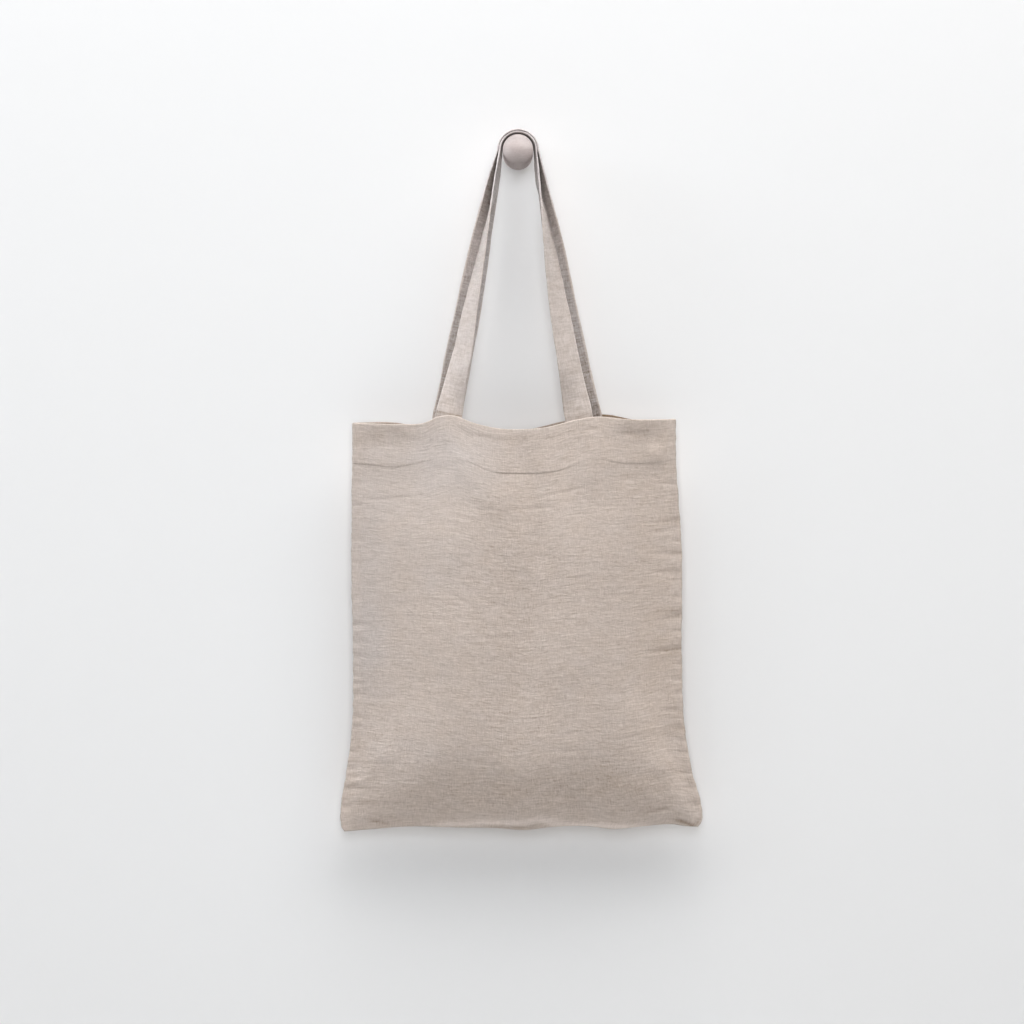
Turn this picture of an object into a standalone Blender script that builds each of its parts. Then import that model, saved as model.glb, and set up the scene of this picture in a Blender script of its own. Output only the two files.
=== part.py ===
"""Linen shopping bag with two long handles, hanging by both of them on a round wooden wall peg.

The wall is the plane y = 0 and the bag hangs in front of it, towards -Y. The origin is the centre of the
peg's flat back face, +X is to the right as one looks at the wall and +Z is up. Tables are in millimetres
and degrees; the meshes are in metres.
"""
import math

import bmesh
import bpy
import numpy as np
from mathutils import Vector

MM = 0.001
COLLECTION_NAME = "linen_shopping_bag"

# Driving dimensions (mm)
SEAM_GAP = 0.3             # clear space between pieces that touch
HANDLE_GAP = 0.4           # clear space between the two straps where one lies over the other
CLOTH_THICKNESS = 1.2      # one layer of the panels
HEM_THICKNESS = 2.2        # the folded hem along the mouth
STRAP_WIDTH = 30.0
STRAP_THICKNESS = 1.8
PEG_RADIUS = 15.9
PEG_LENGTH = 66.0
PEG_EDGE = 1.0             # bevel at the back of the peg
STRAP_PLACE = -35.0        # y of the straps' middle line on the peg
STRAP_TO_HEM = 0.9         # clear space between a strap's end and the curved hem that it is sewn to
STRAP_LIFT = 30.0          # height over which a strap leaves the hem's curve above the mouth

# Shares of a panel's half width and height
HEM_SHARE = 0.095          # the hem's depth in the panel's height
HEM_STEP = 0.008           # height over which the hem's extra layers end
FLAT_SIDE = 0.045          # seam allowance along each side, where the two panels lie flat together
FLANGE_ACROSS = 0.12       # strip along each side where the folds fade out
FLANGE_UP = 0.03           # the same along the bottom
SIDE_EASE = 1.5            # power that eases the cross profile into the flat sides

# Mesh density
HEM_ROWS = 4
PANEL_COLUMNS = {"front": 32, "back": 26}
PANEL_ROWS = {"front": 38, "back": 30}
CLOSE_ROWS = (0.72, 0.80)  # from this share of the rows, at this share of the height, they close up downwards
STRAP_COLUMNS = 4
LEG_ROWS = 22
ARCH_ROWS = 14
PEG_STEPS = 32
NOSE_STEPS = 8

# Outline of the flat-on bag: height z against the side edge's x
LEFT_EDGE = (  # z, x
    (-715.5, -185), (-698.5, -187), (-648.5, -180), (-601.5, -174.5), (-538.5, -173.5), (-454.5, -175),
    (-285.5, -174))
RIGHT_EDGE = (  # z, x
    (-710.5, 193), (-698.5, 193.5), (-648.5, 182.5), (-601.5, 175), (-538.5, 172.5), (-412.5, 172),
    (-328.5, 166.5), (-281.5, 166))
FRONT_MOUTH = (  # x, z
    (-174, -285.5), (-122, -286.5), (-97, -285), (-84, -279.5), (-70, -278), (-46, -286), (-21, -291.5),
    (0, -292.5), (29, -290.5), (55, -284), (80, -279.5), (118, -282), (166, -281.5))
BACK_MOUTH = (  # x, z
    (-174, -285.5), (-140, -284), (-100, -283.5), (-75, -279), (-46, -284), (0, -289.5), (29, -287.5),
    (55, -282), (75, -278), (100, -279), (130, -281), (166, -281.5))
BOTTOM_SEAM = (  # x, z
    (-186, -715.5), (-147, -712.5), (-122, -710.5), (-60, -711.5), (-22, -712), (8, -714), (35, -711),
    (80, -710.5), (100, -713), (130, -710.5), (165, -708), (180, -710), (193, -710.5))

# Depth of the bag
SEAM_DEPTH = (  # z, y of the side seams
    (-715.5, -29), (-598.5, -31), (-448.5, -34), (-281.5, -35))
FRONT_BULGE = (  # share of the height below the mouth, mm ahead of the seam
    (0.0, 11), (0.1, 12), (0.3, 19), (0.5, 27), (0.7, 33), (0.79, 34), (0.85, 31), (0.91, 22), (0.95, 12), (0.98, 4),
    (1.0, 0))
BACK_BULGE = (  # share of the height below the mouth, mm behind the seam
    (0.0, 11), (0.1, 11), (0.3, 13), (0.5, 16), (0.7, 20), (0.8, 22), (0.88, 19), (0.94, 10), (0.98, 2), (1.0, 0))
BELLY_SHARE = 0.85         # where that table has the panel turn under
BELLY_LINE = (  # x, share of the height where the front panel really turns under
    (-186, 0.95), (-163, 0.9), (-110, 0.845), (-43, 0.81), (-8, 0.84), (47, 0.835), (68, 0.82), (104, 0.79),
    (135, 0.85), (170, 0.93), (193, 0.96))
SIDE_SHARPNESS = (  # share of the height, power of the cross profile: higher is boxier
    (0.0, 2.0), (0.5, 2.2), (0.8, 3.0), (1.0, 4.0))

# Folds: each runs from one point to another and stands out (or sinks in, below zero) by its height
FRONT_FOLDS = (  # x1, z1, x2, z2, half width, height
    (0, -300, 14, -400, 55, 5.0),
    (-6, -290.5, 4, -333, 16, -4.5),
    (10, -359, 23, -425, 16, -3.0),
    (23, -456, 8, -560, 20, -2.0),
    (-74, -278.5, -66, -316, 22, 4.0),
    (-52, -338, -26, -366, 17, 2.5),
    (68, -278.5, 74, -330, 24, 4.0),
    (-105, -440, -90, -500, 60, 4.0),
    (64, -450, 60, -520, 45, 3.0),
    (-166, -284, -128, -284, 13, 2.5),
    (112, -281, 158, -281, 13, 4.0),
    (146, -318, 172, -320, 10, 3.0),
    (-40, -680, 50, -682, 14, -4.0),
    (-178, -678, -146, -634, 14, 3.5),
    (-138, -616, -126, -596, 20, 1.5),
    (184, -690, 156, -648, 14, 4.0),
    (148, -630, 124, -594, 20, 2.0))
BACK_FOLDS = (  # x1, z1, x2, z2, half width, height
    (-74, -278.5, -66, -358.5, 24, 3.5),
    (74, -278.5, 68, -358.5, 24, 3.5),
    (0, -288.5, -6, -398.5, 24, -4.0),
    (-170, -688.5, -110, -618.5, 16, 3.0),
    (176, -688.5, 116, -618.5, 16, 3.0),
    (-20, -558.5, 40, -598.5, 30, -2.0))

# Legs of the handles, from the peg down into the hem. A turn of 0 is edge-on to the viewer; above 0 the
# outer face turns forward, below 0 the inner one does.
FRONT_LEFT_LEG = (  # z, x, y, turn
    (-38.5, -24.4, -39, -6), (-83.5, -33.4, -43, 8), (-166.5, -50.8, -45, 29), (-250.5, -68.0, -46, 50),
    (-283.5, -74.0, -46, 80), (-321.5, -76.0, -46, 90))
FRONT_RIGHT_LEG = (  # z, x, y, turn
    (-38.5, 21.0, -39, -9), (-83.5, 29.0, -43, 12), (-166.5, 44.0, -45, 41), (-250.5, 58.8, -46, 64),
    (-283.5, 65.0, -46, 84), (-321.5, 68.0, -46, 90))
BACK_LEFT_LEG = (  # z, x, y, turn
    (-38.5, -28.6, -30, -18), (-83.5, -36.6, -26, -37), (-166.5, -52.4, -24, -63), (-250.5, -69.2, -24, -86),
    (-283.5, -75.0, -24, -90), (-321.5, -77.0, -24, -90))
BACK_RIGHT_LEG = (  # z, x, y, turn
    (-38.5, 25.8, -30, -19), (-83.5, 33.6, -26, -37), (-166.5, 48.6, -24, -63), (-250.5, 66.4, -24, -86),
    (-283.5, 74.0, -24, -90), (-321.5, 76.0, -24, -90))
FRONT_FLARE = -4.0         # turn of the front strap over the peg
BACK_FLARE = -4.0          # turn of the back strap, which lies over it

LINEN = {"name": "linen", "color": (0.55, 0.47, 0.41, 1.0), "roughness": 0.95}
STRAP_LINEN = {"name": "strap_linen", "color": (0.58, 0.50, 0.45, 1.0), "roughness": 0.95}
WOOD = {"name": "pale_wood", "color": (0.60, 0.48, 0.40, 1.0), "roughness": 0.6}


def smooth_through(table, at):
    """Value at `at` on the smooth curve through (position, value) rows, held level beyond the ends."""
    places = np.array([row[0] for row in table], dtype=float)
    values = np.array([row[1] for row in table], dtype=float)
    slopes = np.gradient(values, places)
    at = min(max(at, places[0]), places[-1])
    index = min(int(np.searchsorted(places, at, side="right")) - 1, len(places) - 2)
    span = places[index + 1] - places[index]
    t = (at - places[index]) / span
    return ((2 * t**3 - 3 * t**2 + 1) * values[index] + (t**3 - 2 * t**2 + t) * span * slopes[index]
            + (3 * t**2 - 2 * t**3) * values[index + 1] + (t**3 - t**2) * span * slopes[index + 1])


def fold_height(folds, x, z):
    """How far the folds together lift the cloth at (x, z)."""
    total = 0.0
    for x1, z1, x2, z2, half_width, height in folds:
        along = Vector((x2 - x1, z2 - z1))
        offset = Vector((x - x1, z - z1))
        share = min(max(offset.dot(along) / along.length_squared, 0.0), 1.0)
        distance = (offset - along * share).length
        total += height * math.exp(-(distance / half_width) ** 2)
    return total


def clear_collection(name):
    """Remove the scene's objects and give back an empty collection."""
    for old in list(bpy.data.objects):
        bpy.data.objects.remove(old, do_unlink=True)
    collection = bpy.data.collections.new(name)
    bpy.context.scene.collection.children.link(collection)
    return collection


def make_material(look):
    material = bpy.data.materials.new(look["name"])
    material.use_nodes = True
    shader = material.node_tree.nodes["Principled BSDF"]
    shader.inputs["Base Color"].default_value = look["color"]
    shader.inputs["Roughness"].default_value = look["roughness"]
    shader.inputs["Metallic"].default_value = 0.0
    return material


def make_sheet(name, columns, rows, place, collection, material):
    """A grid whose vertices (u, v), each 0 to 1, are set by `place`; u runs to +X and v runs down."""
    mesh = bpy.data.meshes.new(name)
    shape = bmesh.new()
    bmesh.ops.create_grid(shape, x_segments=columns, y_segments=rows, size=1.0)
    for vertex in shape.verts:
        vertex.co = place((vertex.co.x + 1) / 2, (1 - vertex.co.y) / 2) * MM
    shape.to_mesh(mesh)
    shape.free()
    mesh.shade_smooth()
    mesh.materials.append(material)
    sheet = bpy.data.objects.new(name, mesh)
    collection.objects.link(sheet)
    return sheet


def thicken(sheet, thickness, offset, thin_share=None):
    """Give a sheet its thickness; `thin_share` is what vertices outside the group "hem" get of it."""
    solid = sheet.modifiers.new("Thickness", "SOLIDIFY")
    solid.thickness = thickness * MM
    solid.offset = offset
    if thin_share is not None:
        solid.vertex_group = "hem"
        solid.thickness_vertex_group = thin_share


def row_share(v, rows):
    """Share of the height at grid parameter v: rows close up at the hem line and at the bottom."""
    return smooth_through(((0.0, 0.0), (HEM_ROWS / rows, HEM_SHARE), ((HEM_ROWS + 1) / rows, HEM_SHARE + HEM_STEP),
                           CLOSE_ROWS, (1.0, 1.0)), v)


def core_depth(side, x, z):
    """Distance from the seams' plane to a panel's inner face, at (x, z)."""
    mouth = FRONT_MOUTH if side == "front" else BACK_MOUTH
    bulge = FRONT_BULGE if side == "front" else BACK_BULGE
    folds = FRONT_FOLDS if side == "front" else BACK_FOLDS
    left = smooth_through(LEFT_EDGE, z)
    right = smooth_through(RIGHT_EDGE, z)
    across = min(abs(2 * (x - left) / (right - left) - 1) / (1 - FLAT_SIDE), 1.0)
    top = smooth_through(mouth, x)
    share = min(max((top - z) / (top - smooth_through(BOTTOM_SEAM, x)), 0.0), 1.0)
    crown = (1 - across ** smooth_through(SIDE_SHARPNESS, share)) ** SIDE_EASE
    loose = min(1.0, (1 - across) / FLANGE_ACROSS) * min(1.0, (1 - share) / FLANGE_UP)
    if side == "front":
        share **= math.log(BELLY_SHARE) / math.log(smooth_through(BELLY_LINE, x))
    return max(smooth_through(bulge, share) * crown + fold_height(folds, x, z) * loose, 0.0) + SEAM_GAP / 2


def panel_point(side, u, v):
    """A point on a panel's outer face. The side is "front" or "back"."""
    ahead = -1.0 if side == "front" else 1.0
    rows = PANEL_ROWS[side]
    share = row_share(v, rows)
    mouth = FRONT_MOUTH if side == "front" else BACK_MOUTH
    mouth_z = smooth_through(mouth, mouth[0][0] + (mouth[-1][0] - mouth[0][0]) * u)
    bottom_z = smooth_through(BOTTOM_SEAM, BOTTOM_SEAM[0][0] + (BOTTOM_SEAM[-1][0] - BOTTOM_SEAM[0][0]) * u)
    z = mouth_z + (bottom_z - mouth_z) * share
    left = smooth_through(LEFT_EDGE, z)
    x = left + (smooth_through(RIGHT_EDGE, z) - left) * u
    layers = HEM_THICKNESS if round(v * rows) <= HEM_ROWS else CLOTH_THICKNESS
    return Vector((x, smooth_through(SEAM_DEPTH, z) + ahead * (core_depth(side, x, z) + layers), z))


def make_panel(side, collection, material):
    """One panel: a sheet on its outer face, thickened inwards, with the hem's layers along the mouth."""
    columns, rows = PANEL_COLUMNS[side], PANEL_ROWS[side]
    sheet = make_sheet(side + "_panel", columns, rows,
                       lambda u, v: panel_point(side, u, v), collection, material)
    hem = sheet.vertex_groups.new(name="hem")
    count = len(sheet.data.vertices)
    hem.add(list(range(count - (HEM_ROWS + 1) * (columns + 1), count)), 1.0, "REPLACE")
    thicken(sheet, HEM_THICKNESS, -1.0 if side == "front" else 1.0, CLOTH_THICKNESS / HEM_THICKNESS)
    return sheet


def leg_rows(leg, top_row):
    """Middle points and turns down a leg, from the peg's level to its end in the hem."""
    table = sorted([top_row] + list(leg))
    heights = np.linspace(0.0, table[0][0], LEG_ROWS + 1)
    columns = [[(row[0], row[column]) for row in table] for column in (1, 2, 3)]
    rows = []
    for z in heights:
        x, y, turn = (smooth_through(column, z) for column in columns)
        rows.append((Vector((x, y, z)), turn))
    return rows


def strap_frames(left_leg, right_leg, radius, flare):
    """Middle point and turn of each row of a strap, from its left end over the peg to its right end."""
    left = leg_rows(left_leg, (0.0, -radius, STRAP_PLACE, flare))
    right = leg_rows(right_leg, (0.0, radius, STRAP_PLACE, flare))
    arch = []
    for step in range(1, ARCH_ROWS):
        angle = math.pi * (1 - step / ARCH_ROWS)
        arch.append((Vector((radius * math.cos(angle), STRAP_PLACE, radius * math.sin(angle))), flare))
    return list(reversed(left)) + arch + right


def onto_hem(side, point):
    """Bring a strap's point onto the inside of its panel's hem, below the mouth and just above it."""
    mouth = smooth_through(FRONT_MOUTH if side == "front" else BACK_MOUTH, point.x)
    share = min(max((mouth + STRAP_LIFT - point.z) / STRAP_LIFT, 0.0), 1.0)
    share = share * share * (3 - 2 * share)
    ahead = -1.0 if side == "front" else 1.0
    depth = core_depth(side, point.x, point.z) - STRAP_TO_HEM - STRAP_THICKNESS
    sewn = smooth_through(SEAM_DEPTH, point.z) + ahead * depth
    return Vector((point.x, point.y + (sewn - point.y) * share, point.z))


def make_strap(side, left_leg, right_leg, radius, flare, collection, material):
    """A strap as a sheet on its inner face, thickened outwards. Its width runs from front edge to rear edge."""
    frames = strap_frames(left_leg, right_leg, radius, flare)
    last = len(frames) - 1
    forward = Vector((0, -1, 0))

    def place(u, v):
        index = round(v * last)
        middle, turn = frames[index]
        along = (frames[min(index + 1, last)][0] - frames[max(index - 1, 0)][0]).normalized()
        outward = forward.cross(along).normalized()
        angle = math.radians(turn)
        width = forward * math.cos(angle) - outward * math.sin(angle)
        return onto_hem(side, middle + width * STRAP_WIDTH * (0.5 - u))

    sheet = make_sheet(side + "_handle", STRAP_COLUMNS, last, place, collection, material)
    thicken(sheet, STRAP_THICKNESS, 1.0)
    return sheet


def make_peg(collection, material):
    """A turned dowel along Y: flat back on the wall plane and a half-round nose."""
    nose = [(PEG_RADIUS * math.cos(angle), -(PEG_LENGTH - PEG_RADIUS) - PEG_RADIUS * math.sin(angle))
            for angle in np.linspace(0.0, math.pi / 2, NOSE_STEPS + 1)]
    nose[-1] = (0.0, -PEG_LENGTH)
    profile = [(0.0, 0.0), (PEG_RADIUS - PEG_EDGE, 0.0), (PEG_RADIUS, -PEG_EDGE)] + nose
    mesh = bpy.data.meshes.new("peg")
    mesh.from_pydata([(x * MM, y * MM, 0.0) for x, y in profile],
                     [(index, index + 1) for index in range(len(profile) - 1)], [])
    mesh.materials.append(material)
    peg = bpy.data.objects.new("peg", mesh)
    collection.objects.link(peg)
    turn = peg.modifiers.new("Turned", "SCREW")
    turn.axis = "Y"
    turn.angle = 2 * math.pi
    turn.steps = PEG_STEPS
    turn.render_steps = PEG_STEPS
    turn.use_merge_vertices = True
    turn.merge_threshold = 0.0001
    turn.use_smooth_shade = True
    return peg


def main():
    collection = clear_collection(COLLECTION_NAME)
    linen, strap_linen, wood = (make_material(look) for look in (LINEN, STRAP_LINEN, WOOD))
    make_panel("front", collection, linen)
    make_panel("back", collection, linen)
    half_width = STRAP_WIDTH / 2
    front_radius = PEG_RADIUS + SEAM_GAP + half_width * math.sin(math.radians(-FRONT_FLARE))
    back_radius = (PEG_RADIUS + SEAM_GAP + STRAP_THICKNESS + HANDLE_GAP
                   + half_width * math.sin(math.radians(-BACK_FLARE)))
    make_strap("front", FRONT_LEFT_LEG, FRONT_RIGHT_LEG, front_radius, FRONT_FLARE, collection, strap_linen)
    make_strap("back", BACK_LEFT_LEG, BACK_RIGHT_LEG, back_radius, BACK_FLARE, collection, strap_linen)
    make_peg(collection, wood)


main()
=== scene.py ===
"""Linen shopping bag hanging by both handles on a wooden wall peg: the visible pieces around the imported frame.

The wall is the plane y = 0 and the bag hangs in front of it, towards -Y; +X is to the right and +Z is up.
Tables are in millimetres and degrees; the meshes are in metres.
"""
import math

import bmesh
import bpy
import numpy as np
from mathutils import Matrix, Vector


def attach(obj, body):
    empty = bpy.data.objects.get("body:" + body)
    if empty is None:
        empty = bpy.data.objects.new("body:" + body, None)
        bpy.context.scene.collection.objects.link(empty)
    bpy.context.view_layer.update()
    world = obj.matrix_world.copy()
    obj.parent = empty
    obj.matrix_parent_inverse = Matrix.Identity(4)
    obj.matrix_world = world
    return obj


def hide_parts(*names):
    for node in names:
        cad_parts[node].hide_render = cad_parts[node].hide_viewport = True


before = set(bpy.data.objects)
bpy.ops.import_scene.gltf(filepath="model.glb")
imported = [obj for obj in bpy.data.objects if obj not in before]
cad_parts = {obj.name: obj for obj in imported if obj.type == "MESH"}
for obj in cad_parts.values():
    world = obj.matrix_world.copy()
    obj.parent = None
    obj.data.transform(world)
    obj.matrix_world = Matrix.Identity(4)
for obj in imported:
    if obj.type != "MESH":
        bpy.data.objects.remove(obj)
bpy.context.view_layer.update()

MM = 0.001

# Sizes of the cloth, the straps and the peg (mm)
SEAM_GAP = 0.3              # between the two panels at their seams, and between the front strap and the peg
CLOTH_THICKNESS = 1.2
HEM_THICKNESS = 2.2
STRAP_WIDTH = 30.0
STRAP_THICKNESS = 1.8
STRAP_PLACE = -35.0         # y of the straps' middle line where they cross the peg
STRAP_TO_HEM = 0.7          # between a strap's end and the hem outside it
STRAP_LIFT = 60.0           # how far above the mouth a strap starts to lean onto its panel
HANDLE_GAP = 0.4            # between the two straps on the peg
PEG_RADIUS = 15.9
PEG_LENGTH = 66.0
PEG_EDGE = 1.0              # bevel of the peg's flat end
FLAT_WIDTH, FLAT_HEIGHT = 365.0, 440.0      # one panel's visible face, laid flat

# The panels' cross profile, as in the part's source
FLAT_SIDE = 0.045           # share of the half width beside a seam that stays flat
SIDE_EASE = 1.5             # power that eases the profile into that flat strip
FLANGE_ACROSS = 0.12        # folds start this share of the half width from the sides
FLANGE_UP = 0.03            # and this share of the height above the bottom seam

# Outline of the flat-on bag
LEFT_EDGE = (  # z, x
    (-715.5, -183.2), (-712, -185.6), (-706, -186.8), (-698.5, -187), (-648.5, -180), (-601.5, -174.5),
    (-538.5, -173.5), (-454.5, -175), (-285.5, -174))
RIGHT_EDGE = (  # z, x
    (-710.5, 189.5), (-707, 192.6), (-702, 194.1), (-696, 194), (-648.5, 182.5), (-601.5, 175), (-538.5, 172.5),
    (-412.5, 172), (-328.5, 166.5), (-281.5, 166))
EDGE_WOBBLE = ((0.35, 7.0), (0.15, 2.8))  # how far the side edges stray, cell of the noise that moves them
MOUTH = {  # x, z
    "front": ((-174, -285.5), (-150, -286.4), (-122, -287), (-97, -285.2), (-84, -279.5), (-70, -278), (-46, -286),
              (-21, -291.5), (0, -292.5), (29, -290.5), (55, -284), (80, -279.5), (118, -282), (166, -281.5)),
    "back": ((-174, -285.5), (-158, -284.8), (-140, -284.5), (-124, -285.5), (-113, -287.5), (-97, -285.5),
             (-84, -281), (-75, -279), (-60, -283), (-46, -287.5), (-21, -293), (0, -293.5), (12, -292), (29, -288),
             (45, -284), (55, -282), (66, -279.5), (80, -276.5), (98, -277), (112, -280), (130, -283), (150, -283),
             (166, -281.5))}
MOUTH_LEVEL = -284.0        # the mouth's mean height
WAVE_REACH = 430.0          # how far below it the mouth's waves still bend the weft
BOTTOM_SEAM = (  # x, z
    (-186, -715.5), (-147, -712.5), (-122, -710.5), (-60, -711.5), (-22, -712), (8, -714), (35, -711),
    (80, -710.5), (100, -713), (130, -710.5), (165, -708), (180, -710), (193, -710.5))

# Depth of the bag, away from the plane of its seams
SEAM_DEPTH = ((-715.5, -29), (-598.5, -31), (-448.5, -34), (-281.5, -35))  # z, y of the side seams
BULGE = {  # share of the height below the mouth, mm away from the seam
    "front": ((0.0, 10.5), (0.1, 13.5), (0.2, 17.5), (0.3, 21), (0.5, 27), (0.7, 32), (0.79, 33.5), (0.85, 31),
              (0.91, 22), (0.95, 12), (0.98, 4), (1.0, 0)),
    "back": ((0.0, 11), (0.1, 11), (0.3, 13), (0.5, 16), (0.7, 20), (0.8, 22), (0.88, 19), (0.94, 10), (0.98, 2),
             (1.0, 0))}
BELLY_SHARE = 0.85          # where BULGE turns under; BELLY_LINE moves this place up or down
BELLY_LINE = (  # x, share of the height where the front panel turns under
    (-186, 0.95), (-163, 0.9), (-110, 0.845), (-43, 0.81), (-8, 0.84), (47, 0.835), (68, 0.82), (104, 0.79),
    (135, 0.85), (170, 0.93), (193, 0.96))
SIDE_SHARPNESS = ((0.0, 2.0), (0.5, 2.2), (0.8, 3.0), (1.0, 4.0))  # share of the height, power of the cross profile
FOLDS = {  # x1, z1, x2, z2, half width, height
    "front": (
        (0, -300, 14, -400, 55, 5.0),
        (-6, -290.5, 4, -333, 16, -4.5),
        (10, -359, 23, -425, 16, -3.0),
        (23, -456, 8, -560, 20, -2.0),
        (-74, -278.5, -66, -316, 22, 4.0),
        (-52, -338, -26, -366, 17, 2.5),
        (68, -278.5, 74, -330, 24, 4.0),
        (-105, -440, -90, -500, 60, 4.0),
        (64, -450, 60, -520, 45, 3.0),
        (-166, -284, -128, -284, 13, 2.0),
        (112, -281, 158, -281, 13, 2.6),
        (146, -318, 172, -320, 10, 3.0),
        (-40, -680, 50, -682, 14, -4.0),
        (-178, -678, -146, -634, 14, 3.5),
        (-138, -616, -126, -596, 20, 1.5),
        (184, -690, 156, -648, 14, 4.0),
        (148, -630, 124, -594, 20, 2.0),
        (4, -430, 8, -520, 48, -2.0),
        (0, -608, 26, -612, 62, -4.0),
        (-92, -400, -70, -404, 48, 2.5),
        (70, -398, 84, -402, 42, 2.0)),
    "back": (
        (-74, -278.5, -66, -358.5, 24, 3.5),
        (74, -278.5, 68, -358.5, 24, 3.5),
        (0, -288.5, -6, -398.5, 24, -4.0),
        (-170, -688.5, -110, -618.5, 16, 3.0),
        (176, -688.5, 116, -618.5, 16, 3.0),
        (-20, -558.5, 40, -598.5, 30, -2.0))}

# The cloth's finer relief
HEM_LINE = {  # x, z of the stitched lower edge of the hem
    "front": ((-175, -328.5), (-157, -329.3), (-142, -331.2), (-126, -331.8), (-110, -328.8), (-90, -325),
              (-66, -324), (-50, -327.5), (-37, -333.5), (-24, -337.8), (-8, -338.8), (23, -338.4), (44, -335.6),
              (57, -330.9), (70, -325), (86, -323.6), (99, -326.7), (149, -326.7), (167, -324)),
    "back": ((-175, -329), (-110, -328), (-70, -322), (-40, -328), (0, -334), (40, -330), (72, -323), (110, -326),
             (167, -326))}
HEM_LEDGE = (  # x, how far the hem's lower edge stands out
    (-175, 0.5), (-157, 0.7), (-143, 0.45), (-126, 0.5), (-110, 0.35), (-90, 0.06), (-60, 0.05), (-45, 0.3),
    (-34, 0.2), (-20, 0.55), (-4, 0.85), (10, 0.95), (30, 0.8), (45, 0.65), (58, 0.3), (72, 0.1), (90, 0.2),
    (102, 0.38), (167, 0.4))
HEM_FADE = 18.0             # the cloth thins from the ledge to one layer over this height
ALLOWANCE = {  # step from, to, height; groove's place, half width, depth (from the seam)
    "side": (6.5, 8.5, 0.45, 8.6, 1.3, 0.4),
    "bottom": (3.5, 6.0, 0.5, 6.2, 1.2, 0.3)}
SEAM_ROUNDING = 1.7         # the outer face rounds off over this distance from a seam
LEAST_THICKNESS = 0.4       # what is left of the cloth at the bottom of its deepest wrinkle
SAG = (  # share of the height, how much lower the cloth's weft hangs in the middle than at the sides
    (0.0, 6), (0.1, 6), (0.35, 7), (0.6, 9), (0.8, 10), (0.93, 5), (1.0, 0))
SAG_POWER = 1.7             # the weft's curve from side to side
CREASES = (  # half width, height, points (x, z) from left to right
    (2.6, -0.45, ((-73, -291), (-54, -295), (-31, -302.5), (-8, -304))),
    (2.2, -0.45, ((60, -295.5), (72, -293), (86, -292))),
    (2.0, -0.2, ((26, -304), (46, -299), (58, -296.5))),
    (3.2, -1.0, ((104, -298), (120, -297.5), (137, -297))),
    (1.6, -0.39, ((-14, -381), (-2, -377), (10, -375.6), (38, -375.5))),
    (1.6, -0.39, ((8, -368), (28, -363), (50, -358), (64, -355.5))),
    (1.5, -0.28, ((86, -379.5), (98, -378), (107, -377.5))),
    (1.6, -0.33, ((-169, -366.5), (-128, -365), (-98, -362.5))),
    (1.5, -0.28, ((-168, -376), (-147, -375.5))),
    (1.5, -0.28, ((-160, -391.5), (-139, -390.5))),
    (1.6, -0.33, ((-57, -374.5), (-38, -376.5), (-22, -377))),
    (1.6, -0.33, ((-77, -464), (-64, -468), (-53, -476))),
    (1.7, -0.33, ((-43, -464), (-33, -472), (2, -478))),
    (1.6, -0.28, ((-28, -489), (-14, -490.5))),
    (1.7, -0.39, ((-44, -509.5), (-20, -510), (0, -510.5))),
    (1.6, -0.33, ((-57, -516.5), (-41, -518))),
    (1.8, 0.28, ((-116, -501), (-101, -501.5))),
    (1.8, 0.28, ((-24, -514), (-8, -517), (4, -517))),
    (1.6, -0.33, ((32, -525.5), (48, -523), (64, -521.5))),
    (1.6, -0.28, ((10, -535.5), (22, -532.5))),
    (1.6, -0.28, ((94, -541), (112, -538.5))),
    (1.8, 0.33, ((32, -554), (46, -550), (60, -546))),
    (1.8, 0.33, ((52, -447), (68, -443.5), (86, -441))),
    (1.6, -0.28, ((86, -470), (104, -466.5), (122, -465))),
    (1.7, -0.33, ((48, -612), (60, -610), (72, -608.5))),
    (1.7, -0.44, ((54, -640.5), (68, -638), (84, -635))),
    (1.6, -0.33, ((32, -631.5), (46, -630.5), (62, -628.5))),
    (1.6, -0.28, ((14, -653), (38, -655), (52, -653))),
    (1.6, -0.28, ((106, -617), (122, -613.5), (138, -610.5))),
    (1.7, -0.39, ((-59, -637), (-48, -640), (-36, -643))),
    (1.8, -0.6, ((-72, -655.5), (-58, -659), (-42, -665.5))),
    (1.7, -0.33, ((-48, -653.5), (-22, -654.5), (2, -655))),
    (1.7, -0.7, ((-34, -666), (-24, -668.5), (-14, -670))),
    (2.4, 0.7, ((-30, -662), (-10, -664), (4, -664))),
    (2.6, 1.1, ((-181, -664), (-168, -662), (-154, -656))),
    (2.4, -0.9, ((-181, -672), (-170, -671), (-160, -668))),
    (2.6, 0.8, ((-146, -696), (-134, -697), (-122, -699))),
    (2.4, -0.8, ((-150, -688), (-138, -686), (-124, -688))),
    (2.2, -1.1, ((122, -697), (140, -693.5), (160, -690.5))),
    (2.2, 0.8, ((128, -701), (146, -697), (166, -695))),
    (4.6, 1.2, ((-104, -708), (-60, -708.6), (-29, -707.3), (-4, -707.3), (23, -706), (50, -708))),
    (2.0, -1.1, ((-24, -710), (-3, -711.3), (18, -709.5))),
    (2.2, -1.0, ((-156, -703.5), (-146, -705.5), (-134, -707.5))),
    (2.2, -1.0, ((168, -703.5), (178, -707), (185, -709.3), (190, -705), (193.5, -699.5))))
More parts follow.
